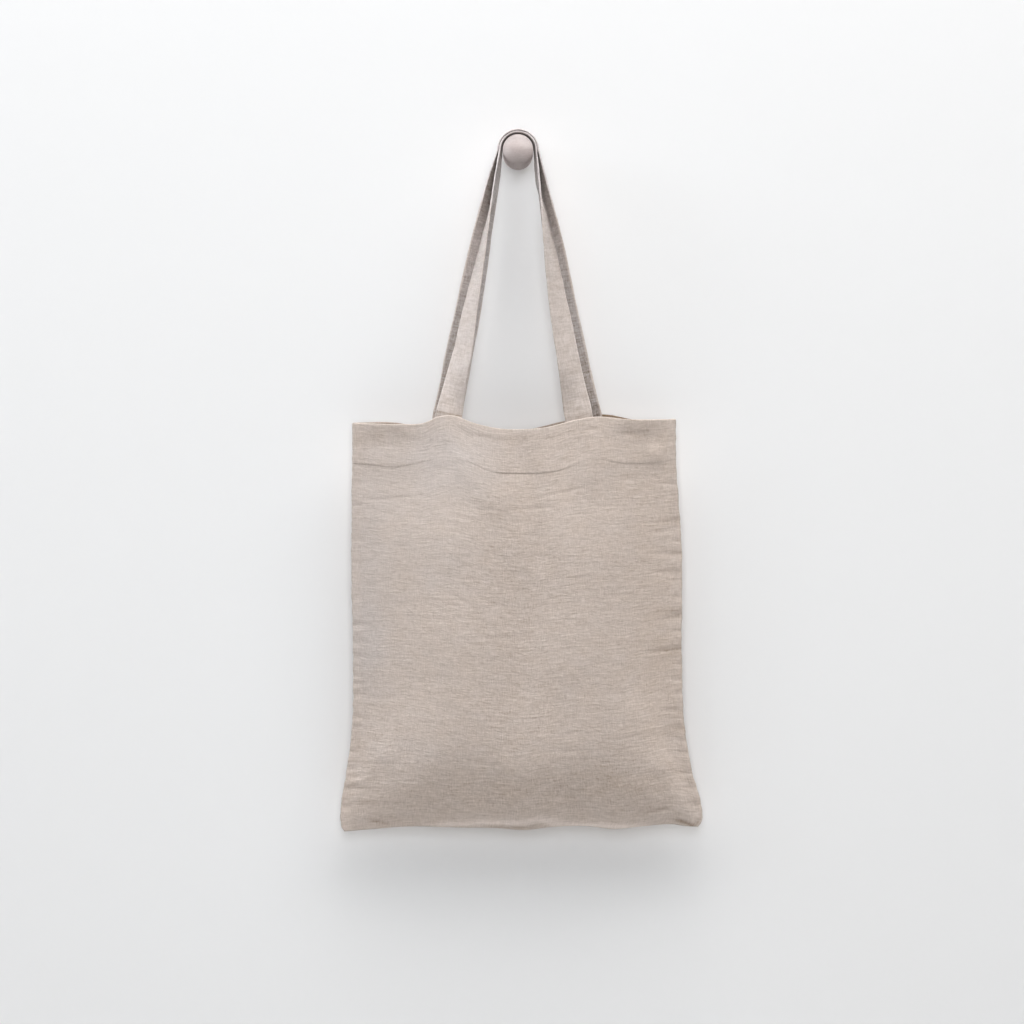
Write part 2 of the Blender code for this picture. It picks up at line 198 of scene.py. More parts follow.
PUCKERS = {  # z, how far in from the side edge, depth, rise towards the middle
    "left": ((-372, 16, 0.5, 0.0), (-410, 12, 0.4, 0.1), (-432, 14, 0.5, 0.0), (-470, 14, 0.5, 0.0),
             (-498, 22, 1.1, 0.0), (-517, 16, 0.7, 0.1), (-530, 16, 0.8, -0.1), (-551, 18, 0.7, -0.2),
             (-560, 14, 0.8, 0.0), (-572, 14, 0.7, 0.0), (-595, 18, 0.9, 0.0), (-606, 14, 0.7, 0.0),
             (-618, 12, 0.7, 0.0), (-632, 14, 0.8, 0.1), (-650, 18, 1.0, 0.2), (-671, 16, 0.9, 0.2),
             (-690, 14, 0.7, 0.0)),
    "right": ((-350, 20, 0.6, 0.0), (-388, 26, 1.0, -0.1), (-397, 44, 0.7, -0.12), (-410, 14, 0.8, 0.1),
              (-423.5, 44, 0.9, 0.0), (-441, 40, 0.9, -0.05), (-452, 16, 0.7, 0.1), (-468, 18, 0.7, 0.0),
              (-487.5, 30, 1.3, -0.25), (-505, 14, 0.7, 0.1), (-523, 42, 1.4, -0.1), (-540, 14, 0.7, 0.1),
              (-556, 14, 0.7, 0.0), (-570, 12, 0.7, 0.0), (-588, 30, 0.9, 0.0), (-607, 20, 1.0, 0.1),
              (-620, 12, 0.7, 0.0), (-633, 16, 0.8, 0.1), (-655, 18, 0.9, 0.1), (-671, 16, 0.8, 0.2),
              (-688, 14, 0.7, 0.1))}

# The cloth's slow changes of tone, with painted light and shade
# lightness: mostly painted light and shade standing in for the shading of the hem's folds, the puckers at the sides and
# the belly; coolness: how far the colour is tinted cool; pattern: how strongly the weave's patterns show
TONES = (  # x, z, half width, half height, lightness, coolness, pattern; both 0 if left out
    (-70, -322, 56, 38, 0.02, 0.95, -0.2),
    (-161, -430, 20, 120, 0.01, 0.6, -0.2),
    (-160, -520, 24, 50, 0.01, 0.8, 0.0),
    (-120, -380, 60, 70, 0.0, 0.3, -0.2),
    (-74, -440, 30, 30, 0.0, 0.3, 0.0),
    (-120, -630, 45, 30, 0.0, 0.3, 0.2),
    (140, -420, 26, 130, -0.01, -0.25, 0.0),
    (150, -560, 30, 80, 0.01, -0.3, 0.0),
    (0, -350, 34, 50, -0.03, -0.1, 0.0),
    (0, -470, 40, 90, -0.03, 0.0, 0.2),
    (0, -590, 50, 50, -0.03, 0.0, 0.25),
    (118, -320, 40, 26, -0.03),
    (110, -650, 50, 30, -0.03, 0.0, 0.2),
    (0, -672, 150, 22, -0.005, -0.3, 0.55),
    (-150, -301, 22, 7, -0.11),
    (-113, -300, 15, 7, -0.07),
    (-142, -316, 28, 6, 0.09),
    (-70, -334, 24, 14, 0.14, -0.4, 0.0),
    (76, -338, 26, 8, 0.08),
    (136, -299, 24, 6, -0.10),
    (-160, -352, 20, 22, 0.05),
    (-160, -402, 18, 8, -0.05),
    (166, -388.5, 18, 4, -0.13),
    (166, -422, 18, 4, -0.05),
    (166, -441, 20, 4, -0.06),
    (166, -484, 24, 6, -0.11),
    (166, -502, 20, 4, 0.05),
    (166, -525, 22, 8, -0.14),
    (166, -592, 18, 5, -0.07),
    (168, -609, 20, 6, -0.14),
    (152, -532, 26, 24, -0.035, -0.1, 0.0),
    (-58, -345, 14, 8, 0.05),
    (-145, -619, 12, 10, -0.06),
    (-160, -558, 14, 12, -0.04),
    (112, -662, 40, 18, -0.04, -0.1, 0.0),
    (-172, -706, 14, 8, -0.06, 0.3, 0.0))
# Painted shade: how much darker the inside of the bag, and most of the back panel's rim, is painted
PAINTED_INNER_SHADE = 0.30          # how much darker the inside of the bag is
# Painted light along the lip of the bottom seam; painted shade just under it, in the bottom corners, along the creases
# under the hem and along the mouth at the right
PAINTED_SHADING_LINES = (  # half width, lightness, points (x, z) from left to right
    (3.4, 0.34, ((-98, -709), (-60, -707.8), (-29, -705.6), (-4, -706.2), (12, -704.5), (23, -701.5), (48, -702.5))),
    (3.8, 0.36, ((20, -705), (55, -708.5), (86, -710), (118, -710.5), (140, -710))),
    (1.8, -0.24, ((-40, -709.8), (-18, -710.8), (-3, -711.2), (12, -710.4), (34, -708.8))),
    (1.5, -0.15, ((-84, -710.6), (-62, -710.6), (-40, -710.2))),
    (1.9, -0.26, ((-156, -703.5), (-146, -705.5), (-134, -707.5))),
    (2.0, -0.45, ((162, -703), (170, -704.5), (178, -707), (185, -709.3), (190, -705), (193.5, -699.5))),
    (2.0, -0.16, ((132, -696), (146, -692.6), (160, -690))),
    (3.8, -0.11, ((-64, -293), (-46, -297), (-31, -301), (-8, -303.5), (14, -303.5))),
    (3.0, -0.06, ((14, -302.5), (40, -300), (58, -297), (84, -292))),
    (1.6, -0.45, ((72, -277), (84, -277), (98, -277.5), (112, -280), (126, -282.5))))

# Legs of the handles (left, then right), from the peg down into the hem
LEGS = {  # z, x, y, turn
    "front": (((-38.5, -22.8, -39, -8), (-64.5, -28.8, -42, 3), (-83.5, -32.6, -43, 9), (-131.5, -42.0, -44, 21),
               (-166.5, -49.0, -45, 31), (-207, -56.4, -45.5, 41), (-250.5, -66.4, -45.5, 53), (-283.5, -73.4, -45, 76),
               (-321.5, -76.0, -45, 90)),
              ((-38.5, 20.9, -39, -4), (-64.5, 26.6, -42, 10), (-83.5, 29.6, -43, 17), (-131.5, 36.8, -44, 32),
               (-166.5, 42.4, -45, 42), (-250.5, 58.0, -45.5, 62), (-283.5, 64.4, -45, 80), (-321.5, 68.0, -45, 90))),
    "back": (((-38.5, -27.0, -30, -26), (-64.5, -32.4, -27, -33), (-83.5, -36.5, -26, -38.5),
              (-131.5, -45.4, -24.5, -55), (-166.5, -52.4, -24, -64), (-250.5, -69.2, -24, -86),
              (-283.5, -75.0, -24, -90), (-321.5, -77.0, -24, -90)),
             ((-38.5, 26.0, -30, -19), (-64.5, 31.0, -28, -28), (-83.5, 34.6, -26, -35), (-166.5, 48.8, -24, -63),
              (-250.5, 66.4, -24, -86), (-283.5, 74.0, -24, -90), (-321.5, 76.0, -24, -90)))}
FLARE = 4.0                 # degrees by which the straps tip backwards on the peg
TIPPED = STRAP_WIDTH / 2 * math.sin(math.radians(FLARE))
RADIUS = {"front": PEG_RADIUS + SEAM_GAP + TIPPED,  # of a strap's middle line round the peg
          "back": PEG_RADIUS + SEAM_GAP + STRAP_THICKNESS + HANDLE_GAP + TIPPED}
AHEAD = {"front": -1.0, "back": 1.0}  # which way along y a panel bulges

# Steps of the meshes
CLOSER = (0.0, 0.35, 0.9, 1.7, 3.0)     # first columns of a panel, in from a side seam
MEAN_WIDTH = 350.0
PANEL_GRID = {"front": (112, 350), "back": (84, 220)}  # columns, rows
HEM_SHARE = 0.105           # share of a panel's height where the hem's stitches run
CROWDED = 0.035             # half height, as a share, of the bands where rows stand closer
RIM_ANGLES = np.radians([162, 126, 90, 54, 18])
LEG_STEPS, ARCH_STEPS = 150, 40

# Stitches (mm)
HEM_STITCH_STEP, HEM_STITCH_LENGTH = 3.1, 2.3
STRAP_STITCH_STEP, STRAP_STITCH_LENGTH = 3.0, 2.2
STITCH_WIDTH, STITCH_HEIGHT = 0.42, 0.34
STITCH_SIDES = 6
STITCH_PROFILE = ((-0.5, 0.15), (-0.36, 0.8), (0.0, 1.0), (0.36, 0.8), (0.5, 0.15))  # share of length, of radius
OVER_HEM_EDGE = 0.6         # how far above the hem's lower edge its stitches run
STITCH_ROW = 12.0           # distance of a strap's stitches from its middle line
STITCH_SUNK = 0.3           # how far they sink into the strap

# Every noise has a seed of its own, so that its draws never move
WOBBLE_SEEDS = (31, 33)     # left, right
CRINKLE_SEED = {"front": 11, "back": 51}
STRAP_SEED = {"front": 71, "back": 91}
PEG_SEED = 5
LATTICE = 512               # a noise repeats after this many cells


# ------------------------------ curves, noise and relief

def smooth_through(table, at):
    """Values at `at` on the smooth curve through (position, value) rows, held level beyond the ends."""
    places, values = np.array(table, dtype=float).T
    slopes = np.gradient(values, places)
    at = np.clip(at, places[0], places[-1])
    index = np.clip(np.searchsorted(places, at, side="right") - 1, 0, len(places) - 2)
    span = places[index + 1] - places[index]
    t = (at - places[index]) / span
    return ((2 * t**3 - 3 * t**2 + 1) * values[index] + (t**3 - 2 * t**2 + t) * span * slopes[index]
            + (3 * t**2 - 2 * t**3) * values[index + 1] + (t**3 - t**2) * span * slopes[index + 1])


def ease(low, high, at):
    """0 below `low`, 1 above `high` and smooth between."""
    share = np.clip((at - low) / (high - low), 0.0, 1.0)
    return share * share * (3 - 2 * share)


def noise(seed, x, y):
    """Smooth noise from -1 to 1 whose cells are one unit wide; the seed fixes it."""
    lattice = np.random.default_rng(seed).uniform(-1, 1, (LATTICE, LATTICE))
    column, row = np.floor(x).astype(int), np.floor(y).astype(int)
    fx, fy = ease(0, 1, x - column), ease(0, 1, y - row)

    def corner(dx, dy):
        return lattice[(column + dx) % LATTICE, (row + dy) % LATTICE]

    return ((corner(0, 0) * (1 - fx) + corner(1, 0) * fx) * (1 - fy)
            + (corner(0, 1) * (1 - fx) + corner(1, 1) * fx) * fy)


def fold_height(folds, x, z):
    """How far the folds together lift the cloth at (x, z)."""
    total = np.zeros_like(x)
    for x1, z1, x2, z2, half_width, height in folds:
        dx, dz = x2 - x1, z2 - z1
        share = np.clip(((x - x1) * dx + (z - z1) * dz) / (dx * dx + dz * dz), 0.0, 1.0)
        distance = np.hypot(x - x1 - dx * share, z - z1 - dz * share)
        total += height * np.exp(-(distance / half_width) ** 2)
    return total


def lines_at(table, x, z):
    """Sum of drawn lines at (x, z): each fades out towards both of its ends."""
    total = np.zeros_like(x)
    for half_width, height, points in table:
        start, end = points[0][0], points[-1][0]
        share = np.clip((x - start) / (end - start), 0.0, 1.0)
        fade = (4 * share * (1 - share)) ** 0.6
        distance = z - smooth_through(points, x)
        total += height * fade * np.exp(-(distance / half_width) ** 2)
    return total


def pucker_height(side_name, inward, z):
    """Puckers that the seam draws into the cloth at one side: widest and deepest at the edge."""
    total = np.zeros_like(z)
    for z0, reach, depth, rise in PUCKERS[side_name]:
        left = np.clip(1 - inward / reach, 0.0, 1.0)
        half_width = 1.3 + 2.4 * left
        total -= depth * left ** 0.7 * np.exp(-((z - z0 - rise * inward) / half_width) ** 2)
    return total


def side_edges(z):
    """x of the left and the right side seam, a little uneven."""
    (wide, wide_cell), (fine, fine_cell) = EDGE_WOBBLE
    left, right = (smooth_through(edge, z) + (wide * noise(seed, z / wide_cell, 0 * z)
                                              + fine * noise(seed + 1, z / fine_cell, 0 * z))
                   for edge, seed in zip((LEFT_EDGE, RIGHT_EDGE), WOBBLE_SEEDS))
    return left, right


def core_depth(side, x, z):
    """Distance from the seams' plane to a panel's inner face, at (x, z)."""
    left, right = side_edges(z)
    across = np.minimum(np.abs(2 * (x - left) / (right - left) - 1) / (1 - FLAT_SIDE), 1.0)
    top = smooth_through(MOUTH[side], x)
    share = np.clip((top - z) / (top - smooth_through(BOTTOM_SEAM, x)), 0.0, 1.0)
    crown = (1 - across ** smooth_through(SIDE_SHARPNESS, share)) ** SIDE_EASE
    loose = np.minimum(1.0, (1 - across) / FLANGE_ACROSS) * np.minimum(1.0, (1 - share) / FLANGE_UP)
    if side == "front":
        share = share ** (math.log(BELLY_SHARE) / np.log(smooth_through(BELLY_LINE, x)))
    bulge = smooth_through(BULGE[side], share) * crown
    return np.maximum(bulge + fold_height(FOLDS[side], x, z) * loose, 0.0) + SEAM_GAP / 2


def flat_place(side, x, z):
    """Where a point of the panel lies on the flat cloth: (across, down) in mm."""
    left, right = side_edges(z)
    # The mouth's waves die out in the weft below it
    wave = np.clip(1 + (z - MOUTH_LEVEL) / WAVE_REACH, 0, 1) ** 3
    top = MOUTH_LEVEL + (smooth_through(MOUTH[side], x) - MOUTH_LEVEL) * wave
    share = np.clip((top - z) / (top - smooth_through(BOTTOM_SEAM, x)), 0.0, 1.0)
    across = 2 * (x - left) / (right - left) - 1
    sag = smooth_through(SAG, share) * (1 - np.abs(across) ** SAG_POWER)
    return across * FLAT_WIDTH / 2, share * FLAT_HEIGHT - sag


def tone_at(x, z):
    """The cloth's slow changes of tone with its painted light and shade: (lightness, coolness, strength of its
    pattern).
    """
    tone = np.zeros((3,) + x.shape)
    for x0, z0, half_x, half_z, *amounts in TONES:
        spot = np.exp(-((x - x0) / half_x) ** 2 - ((z - z0) / half_z) ** 2)
        for k, amount in enumerate(amounts):
            tone[k] += amount * spot
    tone[0] += lines_at(PAINTED_SHADING_LINES, x, z)
    return tone


def crinkles(seed, u, v):
    """Fine washed-linen wrinkles, long along the weft; the divisors are their cells in mm."""
    warp = 1.2 * noise(seed, u / 55, v / 20)
    fine = noise(seed + 1, u / 14, (v + warp) / 2.6)
    wide = noise(seed + 2, u / 26, (v + warp) / 6.0)
    sharp = np.maximum(0.35 - np.abs(noise(seed + 3, u / 24, (v + warp) / 5.0)), 0.0) / 0.35
    where = np.clip(0.5 + 1.1 * noise(seed + 4, u / 30, v / 9), 0.0, 1.0)
    return 0.05 * fine + 0.10 * wide - 0.17 * sharp * where


def panel_thickness(side, x, z):
    """The cloth's layers: the turned hem, the ledge at its stitches, and one layer below it."""
    below = smooth_through(HEM_LINE[side], x) - z
    ledge = smooth_through(HEM_LEDGE, x)
    groove = 0.35 * np.exp(-(below / 0.8) ** 2)
    return (HEM_THICKNESS - ledge * (ease(-0.9, 0.7, below) + groove)
            + (CLOTH_THICKNESS - HEM_THICKNESS + ledge) * ease(-1.5, HEM_FADE, below))


def allowance_step(seam, inward):
    """Where a seam's allowance ends inside the bag: a low step that shows through the cloth, and a groove."""
    step_from, step_to, height, groove_at, half_width, depth = ALLOWANCE[seam]
    return height * (1 - ease(step_from, step_to, inward)) - depth * np.exp(-((inward - groove_at) / half_width) ** 2)


def panel_relief(side, x, z):
    """Everything that stands out of, or sinks into, a panel's smooth outer face."""
    left, right = side_edges(z)
    relief = crinkles(CRINKLE_SEED[side], *flat_place(side, x, z))
    for name, inward in (("left", x - left), ("right", right - x)):
        relief += pucker_height(name, inward, z)
        relief += allowance_step("side", inward)
    if side == "front":
        return relief + lines_at(CREASES, x, z)
    return relief + allowance_step("bottom", z - smooth_through(BOTTOM_SEAM, x))


def outer_depth(side, x, z):
    """Distance from the seams' plane to a panel's outer face, rounded off at the seams."""
    left, right = side_edges(z)
    edge = np.maximum(np.minimum(np.minimum(x - left, right - x), z - smooth_through(BOTTOM_SEAM, x)), 0.0)
    rounding = np.sqrt(1 - (1 - np.minimum(edge / SEAM_ROUNDING, 1.0)) ** 2)
    thickness = np.maximum(panel_thickness(side, x, z) + panel_relief(side, x, z), LEAST_THICKNESS)
    return core_depth(side, x, z) + thickness * rounding


# ------------------------------ meshes

def mesh_object(name, points, faces, material, flat=None, tone=None, joined=False):
    """A smooth-shaded object from arrays in mm.

    `flat` (mm) is kept as the attribute "cloth" that the weave follows, and `tone` as the one that carries its slow
    tone and its painted light and shade.
    `joined` merges points that fall on one another.
    """
    mesh = bpy.data.meshes.new(name)
    mesh.vertices.add(points.size // 3)
    mesh.vertices.foreach_set("co", (points * MM).ravel())
    faces = np.asarray(faces, dtype=np.int32)
    mesh.loops.add(faces.size)
    mesh.loops.foreach_set("vertex_index", faces.ravel())
    mesh.polygons.add(len(faces))
    mesh.polygons.foreach_set("loop_start", np.arange(len(faces), dtype=np.int32) * faces.shape[1])
    mesh.update(calc_edges=True)
    if flat is not None:
        place = mesh.attributes.new("cloth", "FLOAT_VECTOR", "POINT")
        place.data.foreach_set("vector", (flat * MM).ravel())
        shade = mesh.attributes.new("tone", "FLOAT_VECTOR", "POINT")
        shade.data.foreach_set("vector", tone.ravel())
    if joined:
        sewn = bmesh.new()
        sewn.from_mesh(mesh)
        bmesh.ops.remove_doubles(sewn, verts=sewn.verts, dist=1e-7)
        sewn.to_mesh(mesh)
        sewn.free()
    mesh.shade_smooth()
    mesh.materials.append(material)
    piece = bpy.data.objects.new(name, mesh)
    bpy.context.scene.collection.objects.link(piece)
    return piece


def unit(vectors):
    """Each vector, made one unit long."""
    return vectors / np.linalg.norm(vectors, axis=-1, keepdims=True)


def grid_faces(rows, columns, ring=False):
    """Quads of a grid of rows x columns vertices; in a ring, the last column meets the first."""
    r, c = (a.ravel() for a in np.meshgrid(np.arange(rows - 1), np.arange(columns if ring else columns - 1),
                                           indexing="ij"))
    next_c = (c + 1) % columns
    return np.stack([r * columns + c, r * columns + next_c, (r + 1) * columns + next_c, (r + 1) * columns + c], axis=1)


def column_places(count):
    """Shares of a panel's width for its columns: a few closer ones at each side and `count` even steps between."""
    closer = np.array(CLOSER)
    even = np.linspace(closer[-1], MEAN_WIDTH - closer[-1], count + 1)
    return np.concatenate([closer[:-1], even, MEAN_WIDTH - closer[-2::-1]]) / MEAN_WIDTH


def row_places(count):
    """Shares of a panel's height for its rows, closer together at the hem's stitches and along the bottom seam."""
    step = np.linspace(0.0, 1.0, 4001)
    crowd = 1 + 1.6 * np.exp(-((step - HEM_SHARE) / CROWDED) ** 4) + 1.5 * np.exp(-((1 - step) / CROWDED) ** 2)
    passed = np.concatenate([[0.0], np.cumsum((crowd[1:] + crowd[:-1]) / 2)])
    return np.interp(np.linspace(0.0, passed[-1], count), passed, step)


def make_panel(side, material):
    """One panel as a closed shell: outer face, rounded mouth and inner face, meeting along the seams."""
    columns, rows = PANEL_GRID[side]
    share, u = np.meshgrid(row_places(rows), column_places(columns), indexing="ij")
    mouth_x = MOUTH[side][0][0] + (MOUTH[side][-1][0] - MOUTH[side][0][0]) * u
    seam_x = BOTTOM_SEAM[0][0] + (BOTTOM_SEAM[-1][0] - BOTTOM_SEAM[0][0]) * u
    mouth_z = smooth_through(MOUTH[side], mouth_x)
    top = mouth_z - HEM_THICKNESS / 2
    z = top + (smooth_through(BOTTOM_SEAM, seam_x) - top) * share
    left, right = side_edges(z)
    x = left + (right - left) * u
    seam_y = smooth_through(SEAM_DEPTH, z)
    outer = outer_depth(side, x, z)
    inner = core_depth(side, x, z)
    # The mouth's fold: half a turn from the inner face over to the outer one
    centre, radius = (outer[0] + inner[0]) / 2, (outer[0] - inner[0]) / 2
    rim = np.array([[x[0], seam_y[0] + AHEAD[side] * (centre + radius * math.cos(angle)),
                     z[0] + radius * math.sin(angle)] for angle in RIM_ANGLES])
    inside, outside = (np.stack([x, seam_y + AHEAD[side] * depth, z], axis=2) for depth in (inner, outer))
    points = np.concatenate([inside[::-1], rim.transpose(0, 2, 1), outside])
    u_flat, v_flat = flat_place(side, points[:, :, 0], points[:, :, 2])
    flat = np.stack([u_flat, v_flat, np.zeros_like(u_flat)], axis=2)
    tone = tone_at(points[:, :, 0], points[:, :, 2])
    # Painted shade on the inner face, and on the back panel's rim, which is seen from inside the bag, all but its last
    # row
    painted_shade_rows = len(inside) + (len(rim) - 1 if side == "back" else 0)
    tone[0, :painted_shade_rows] -= PAINTED_INNER_SHADE
    tone = np.moveaxis(tone, 0, 2)
    faces = grid_faces(*points.shape[:2])
    if side == "back":
        faces = faces[:, ::-1]
    return mesh_object(side + "_cloth", points, faces, material, flat, tone, joined=True)


def strap_rows(side):
    """Middle points and turns down the whole strap, from its left end over the peg to its right end."""
    radius = RADIUS[side]
    legs = []
    for leg, sign in zip(LEGS[side], (-1, 1)):
        table = sorted([(0.0, sign * radius, STRAP_PLACE, -FLARE)] + list(leg))
        z = np.linspace(0.0, table[0][0], LEG_STEPS + 1)
        x, y, turn = (smooth_through([(row[0], row[column]) for row in table], z) for column in (1, 2, 3))
        legs.append(np.stack([x, y, z, turn], axis=1))
    angles = np.pi * (1 - np.arange(1, ARCH_STEPS) / ARCH_STEPS)
    arch = np.stack([radius * np.cos(angles), np.full_like(angles, STRAP_PLACE), radius * np.sin(angles),
                     np.full_like(angles, -FLARE)], axis=1)
    return np.concatenate([legs[0][::-1], arch, legs[1]])


def strap_surface(side, rows, a, b):
    """Points, normals and directions along a strap.

    a (mm) runs from its rear edge to its front one, and b is the height over its inner face.
    """
    middle, turn = rows[:, :3], np.radians(rows[:, 3])
    forward = np.array([0.0, -1.0, 0.0])
    outward = unit(np.cross(forward, unit(np.gradient(middle, axis=0))))
    width = forward * np.cos(turn)[:, None] - outward * np.sin(turn)[:, None]

    def on_inner_face(a):
        point = middle[:, None, :] + width[:, None, :] * a[..., None]
        mouth = smooth_through(MOUTH[side], point[..., 0])
        share = ease(0, 1, (mouth + STRAP_LIFT - point[..., 2]) / STRAP_LIFT)
        depth = core_depth(side, point[..., 0], point[..., 2]) - STRAP_TO_HEM - STRAP_THICKNESS
        sewn = smooth_through(SEAM_DEPTH, point[..., 2]) + AHEAD[side] * depth
        point[..., 1] += (sewn - point[..., 1]) * share
        return point

    base = on_inner_face(a)
    forth = np.gradient(base, axis=0)
    normal = unit(np.cross(on_inner_face(a + 1.0) - base, forth))
    return base + normal * b[..., None], normal, forth


def strap_length(rows):
    """Distance of each row from the strap's left end."""
    steps = np.linalg.norm(np.diff(rows[:, :3], axis=0), axis=1)
    return np.concatenate([[0.0], np.cumsum(steps)])


def strap_ring():
    """(a, b) round a strap's cross section: two flat faces, with closer points at the stitches, and round edges."""
    half, radius = STRAP_WIDTH / 2, STRAP_THICKNESS / 2
    flat = np.array([-13.6, -12.4, -11.2, -9, -6, -3, 0, 3, 6, 9, 11.2, 12.4, 13.6])
    angles = np.radians([60, 20, -20, -60])
    edge_a, edge_b = half - radius + radius * np.cos(angles), radius * np.sin(angles)
    return (np.concatenate([flat, edge_a, flat[::-1], -edge_a]),
            np.concatenate([np.full(len(flat), 2 * radius), radius + edge_b, np.zeros(len(flat)), radius - edge_b]))


def strap_tone(side, rows, a, b):
    """A strap's lightness, coolness and strength of pattern: painted shade on its inner face and lower down, painted
    light along its edges.
    """
    x, z = rows[:, :1], rows[:, 2][:, None]
    left_leg = x < 0
    right_leg = ease(0.0, 20.0, x)
    near_peg = ease(-75.0, -35.0, z)
    low, lowest = ease(-180.0, -255.0, z), ease(-240.0, -285.0, z)
    rear_edge, front_edge = ease(13.2, 14.4, -a), ease(13.2, 14.4, a)
    inner = (1 - ease(0.1, STRAP_THICKNESS / 2, b)) * (1 - ease(13.2, 13.8, np.abs(a)))
    # Painted shade on the inner face; on the back strap it is heavier towards its front edge, near the peg on the left
    # leg and low down, and lighter in the middle of the legs
    shade = 0.02
    if side == "back":
        dark_top = ease(-84.0, -50.0, z) * left_leg
        light_middle = np.exp(-((z + 105.0) / 42.0) ** 2) * np.where(left_leg, 0.11, 0.05)
        shade = 0.13 + (0.15 + 0.14 * dark_top) * ease(-12.0, 2.0, a) + 0.17 * low - light_middle
    # Painted shade on the rest of the strap, low down and on the right leg
    light = -shade * inner - (0.04 * low + 0.08 * lowest + 0.09 * right_leg) * (1 - inner)
    # Painted light along the rear edge, and near the peg along the front edge too
    light += rear_edge * (0.15 + 0.2 * near_peg)
    light += front_edge * (0.2 if side == "front" else 0.35) * near_peg
    # A thin shadow where the left leg goes into the hem
    light -= 0.3 * np.exp(-((z + 277.0) / 1.3) ** 2) * left_leg
    # The painted shade on the inner face and the painted light on the edges near the peg are tinted cool
    cool = np.maximum(1.25 * inner, near_peg * ease(13.2, 14.4, np.abs(a)))
    return np.stack([light, cool, 0.6 * inner], axis=2)


def make_strap(side, material):
    """A folded and stitched strap as a closed ring of points swept along its rows."""
    rows, seed = strap_rows(side), STRAP_SEED[side]
    s = strap_length(rows)[:, None]
    a, b = (np.tile(values, (len(rows), 1)) for values in strap_ring())
    # Uneven edges, then soft waves and the sunk rows of stitches on both faces
    wander = 0.45 * noise(seed, s / 38, np.sign(a) * 7.0) + 0.2 * noise(seed + 1, s / 9, np.sign(a) * 5.0)
    a += ease(11.0, 15.0, np.abs(a)) * wander * np.sign(a)
    outer = ease(STRAP_THICKNESS / 2, STRAP_THICKNESS, b)
    stitched = np.exp(-((np.abs(a) - STITCH_ROW) / 0.9) ** 2)
    relief = 0.22 * noise(seed + 2, s / 3.4, a / 14) + 0.25 * noise(seed + 3, s / 9.0, a / 11) - 0.35 * stitched
    b += (outer - 0.5) * 2 * relief * (0.35 + 0.65 * outer)
    points = strap_surface(side, rows, a, b)[0]
    flat = np.stack([a, np.broadcast_to(s, a.shape), b * 0.2], axis=2)
    faces = grid_faces(*a.shape, ring=True)[:, ::-1]
    return mesh_object(side + "_strap", points, faces, material, flat, strap_tone(side, rows, a, b))


def make_stitches(name, centres, tangents, normals, length, material):
    """A row of short raised threads, each a small six-sided pod lying on the cloth."""
    ring = [(math.cos(t), math.sin(t)) for t in np.linspace(0, 2 * math.pi, STITCH_SIDES + 1)[:-1]]
    pod = np.array([(s * length, c * r * STITCH_WIDTH / 2, n * r * STITCH_HEIGHT / 2)
                    for s, r in STITCH_PROFILE for c, n in ring])
    tangents, normals = unit(tangents), unit(normals)
    points = centres[:, None, :]
    for k, axis in enumerate((tangents, np.cross(normals, tangents), normals)):
        points = points + pod[None, :, k:k + 1] * axis[:, None, :]
    quads = grid_faces(len(STITCH_PROFILE), STITCH_SIDES, ring=True)
    faces = (quads[None] + (np.arange(len(centres)) * len(pod))[:, None, None]).reshape(-1, 4)
    return mesh_object(name, points, faces, material)


def hem_stitches(side, material):
    """The row of stitches that holds the hem down, a little above its lower edge."""
    def on_hem(x, up=0.0):
        z = smooth_through(HEM_LINE[side], x) + OVER_HEM_EDGE + up
        return np.stack([x, smooth_through(SEAM_DEPTH, z) + AHEAD[side] * outer_depth(side, x, z), z], axis=1)

    x = np.arange(-168.0, 160.0, HEM_STITCH_STEP)
    tangent = on_hem(x + 0.5) - on_hem(x - 0.5)
    upward = on_hem(x, 2.5) - on_hem(x, -2.5)
    normal = np.cross(upward, tangent) if side == "back" else np.cross(tangent, upward)
    return make_stitches(side + "_hem_stitches", on_hem(x), tangent, normal, HEM_STITCH_LENGTH, material)


def strap_stitches(side, material):
    """Two rows of stitches down the strap, near its edges."""
    rows = strap_rows(side)
    along = strap_length(rows)
    at = np.arange(4.0, along[-1] - 4.0, STRAP_STITCH_STEP)
    both = []
    for place in (-STITCH_ROW, STITCH_ROW):
        a = np.full((len(rows), 1), place)
        b = np.full((len(rows), 1), STRAP_THICKNESS - STITCH_SUNK)
        both.append([np.stack([np.interp(at, along, values[:, 0, k]) for k in range(3)], axis=1)
                     for values in strap_surface(side, rows, a, b)])
    centres, normals, tangents = (np.concatenate(pair) for pair in zip(*both))
    return make_stitches(side + "_strap_stitches", centres, tangents, normals, STRAP_STITCH_LENGTH, material)


def make_peg(material):
    """The turned wooden dowel, with its half-round nose."""
    straight = PEG_LENGTH - PEG_RADIUS
    nose = [(PEG_RADIUS * math.cos(t), -straight - PEG_RADIUS * math.sin(t))
            for t in np.linspace(0.0, math.pi / 2, 29)[:-1]]
    shaft = [(PEG_RADIUS, y) for y in np.linspace(-2.0, -straight, 14)[:-1]]
    flat_end = [(0.01, 0.0), (PEG_RADIUS - PEG_EDGE, 0.0), (PEG_RADIUS - 0.3, -0.3), (PEG_RADIUS, -PEG_EDGE)]
    profile = np.array(flat_end + shaft + nose + [(0.01, -PEG_LENGTH)])
    turn = np.linspace(0, 2 * math.pi, 97)[:-1]
    radius, y = profile[:, :1], profile[:, 1:]
    uneven = 1 + 0.004 * noise(PEG_SEED, np.cos(turn) * 1.5 + y / 14, np.sin(turn) * 1.5)
    points = np.stack([radius * np.cos(turn) * uneven, np.broadcast_to(y, uneven.shape),
                       radius * np.sin(turn) * uneven], axis=2)
    return mesh_object("peg_wood", points, grid_faces(*points.shape[:2], ring=True), material)


# ------------------------------ materials

MM_PER_M = (1000.0, 1000.0, 1000.0)

